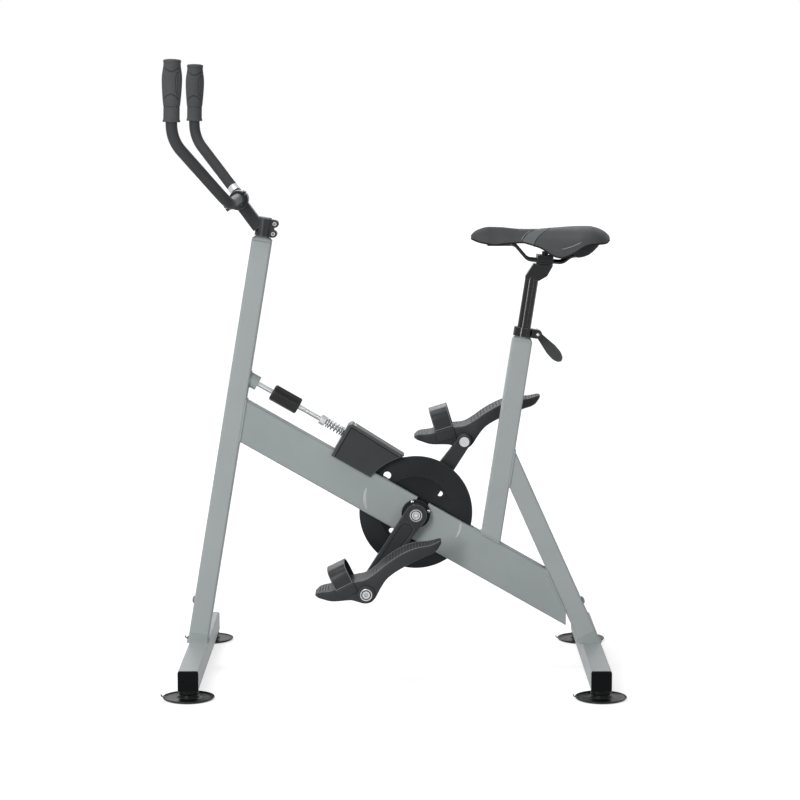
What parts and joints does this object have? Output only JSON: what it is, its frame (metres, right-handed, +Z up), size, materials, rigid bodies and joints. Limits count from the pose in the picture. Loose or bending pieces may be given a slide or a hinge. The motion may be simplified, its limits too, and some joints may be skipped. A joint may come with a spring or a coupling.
{
  "type": "aqua bike",
  "caption": "Pool exercise bike: sloping welded tube frame on two footed cross bars, friction brake disc, foot-shaped pedals, sliding seatpost and saddle, upright bar grips",
  "frame": {"origin": "on the floor, in the middle of the bounding box's bottom face", "axes": "+X towards the rear, +Y towards the rider's right, +Z up"},
  "size_m": [0.897, 0.644, 1.2193],
  "materials": {
    "frame_paint": "satin light grey-green powder coat",
    "black_paint": "satin black paint",
    "gloss_black": "gloss black",
    "black_plastic": "smooth black moulding",
    "foot_rubber": "smooth black rubber",
    "grey_plastic": "fine-grained dark grey moulding",
    "grip_rubber": "soft matt grey",
    "saddle_cover": "matt synthetic leather",
    "bright_steel": "bright plated",
    "brake_felt": "dense felt"
  },
  "bodies": {
    "frame": {"front_base_bar": "frame_paint", "rear_base_bar": "frame_paint", "front_socket": "frame_paint", "rear_socket": "frame_paint", "front_post": "frame_paint", "steerer_stub": "frame_paint", "rear_stay": "frame_paint", "main_beam": "frame_paint", "adjuster_boss": "frame_paint", "seat_tube": "frame_paint", "brake_block": "black_paint", "seat_clamp": "gloss_black", "front_left_end_cap": "black_plastic", "front_right_end_cap": "black_plastic", "rear_left_end_cap": "black_plastic", "rear_right_end_cap": "black_plastic", "left_bearing_flange": "black_plastic", "right_bearing_flange": "black_plastic", "front_left_foot": "foot_rubber", "front_right_foot": "foot_rubber", "rear_left_foot": "foot_rubber", "rear_right_foot": "foot_rubber", "brake_cover": "grey_plastic", "front_socket_bolt": "bright_steel", "rear_socket_bolt": "bright_steel", "left_crank_bearing": "bright_steel", "right_crank_bearing": "bright_steel", "tension_spring": "bright_steel", "clamp_skewer": "bright_steel", "brake_pad": "brake_felt"},
    "crank": {"crank_axle": "bright_steel", "brake_disc": "black_paint", "left_crank": "grey_plastic", "right_crank": "grey_plastic", "left_crank_bolt": "bright_steel", "right_crank_bolt": "bright_steel", "left_pedal_axle": "bright_steel", "right_pedal_axle": "bright_steel"},
    "left_pedal": {"left_pedal": "grey_plastic", "left_strap": "black_plastic"},
    "right_pedal": {"right_pedal": "grey_plastic", "right_strap": "black_plastic"},
    "seatpost": {"seatpost": "gloss_black"},
    "rail_clamp": {"rail_cradle": "black_paint", "rail_plate": "black_paint", "rail_bolt": "bright_steel"},
    "saddle": {"saddle_cushion": "saddle_cover", "saddle_shell": "black_plastic", "saddle_rails": "gloss_black"},
    "clamp_lever": {"clamp_lever": "grey_plastic"},
    "stem": {"stem": "black_paint", "stem_faceplate": "black_paint", "lower_pinch_bolt": "bright_steel", "upper_pinch_bolt": "bright_steel"},
    "handlebar": {"handlebar": "gloss_black", "left_grip": "grip_rubber", "right_grip": "grip_rubber"},
    "tension_nut": {"tension_nut": "bright_steel"},
    "tension_rod": {"tension_rod": "bright_steel", "tension_knob": "black_plastic"}
  },
  "joints": [
    {"name": "crank_spin", "type": "hinge", "parent": "frame", "child": "crank", "pos_m": [0.0439, 0, 0.32], "axis": [0, 1, 0], "continuous": true},
    {"name": "left_pedal_spin", "type": "hinge", "parent": "crank", "child": "left_pedal", "pos_m": [-0.05434, -0.107, 0.18126], "axis": [0, 1, 0], "continuous": true},
    {"name": "right_pedal_spin", "type": "hinge", "parent": "crank", "child": "right_pedal", "pos_m": [0.14214, 0.107, 0.45874], "axis": [0, 1, 0], "continuous": true},
    {"name": "seatpost_slide", "type": "slide", "parent": "frame", "child": "seatpost", "axis": [0.1513, 0, 0.9885], "range_m": [-0.085, 0.09]},
    {"name": "saddle_tilt", "type": "hinge", "parent": "seatpost", "child": "rail_clamp", "pos_m": [0.30433, 0, 0.87729], "axis": [0, 1, 0], "range_deg": [-8, 8]},
    {"name": "saddle_slide", "type": "slide", "parent": "rail_clamp", "child": "saddle", "axis": [0.9959, 0, -0.0906], "range_m": [-0.012, 0.012]},
    {"name": "lever_throw", "type": "hinge", "parent": "frame", "child": "clamp_lever", "pos_m": [0.28699, 0.019, 0.68055], "axis": [0.7547, 0, 0.6561], "range_deg": [0, 120]},
    {"name": "stem_swivel", "type": "hinge", "parent": "frame", "child": "stem", "pos_m": [-0.25842, 0, 0.89411], "axis": [0.1633, 0, 0.9866], "range_deg": [-15, 15]},
    {"name": "handlebar_tilt", "type": "hinge", "parent": "stem", "child": "handlebar", "pos_m": [-0.3095, 0, 0.949], "axis": [0, 1, 0], "range_deg": [-15, 15]},
    {"name": "tension_slide", "type": "slide", "parent": "frame", "child": "tension_nut", "axis": [0.8689, 0, -0.495], "range_m": [-0.0045, 0.0045], "deforming": ["tension_spring"]},
    {"name": "tension_turn", "type": "hinge", "parent": "frame", "child": "tension_rod", "pos_m": [-0.14838, 0, 0.50976], "axis": [0.8689, 0, -0.495], "range_deg": [-1080, 1080]}
  ],
  "couplings": [
    {"joint": "tension_slide", "follows": "tension_turn", "m_per_rad": 0.00023873}
  ]
}
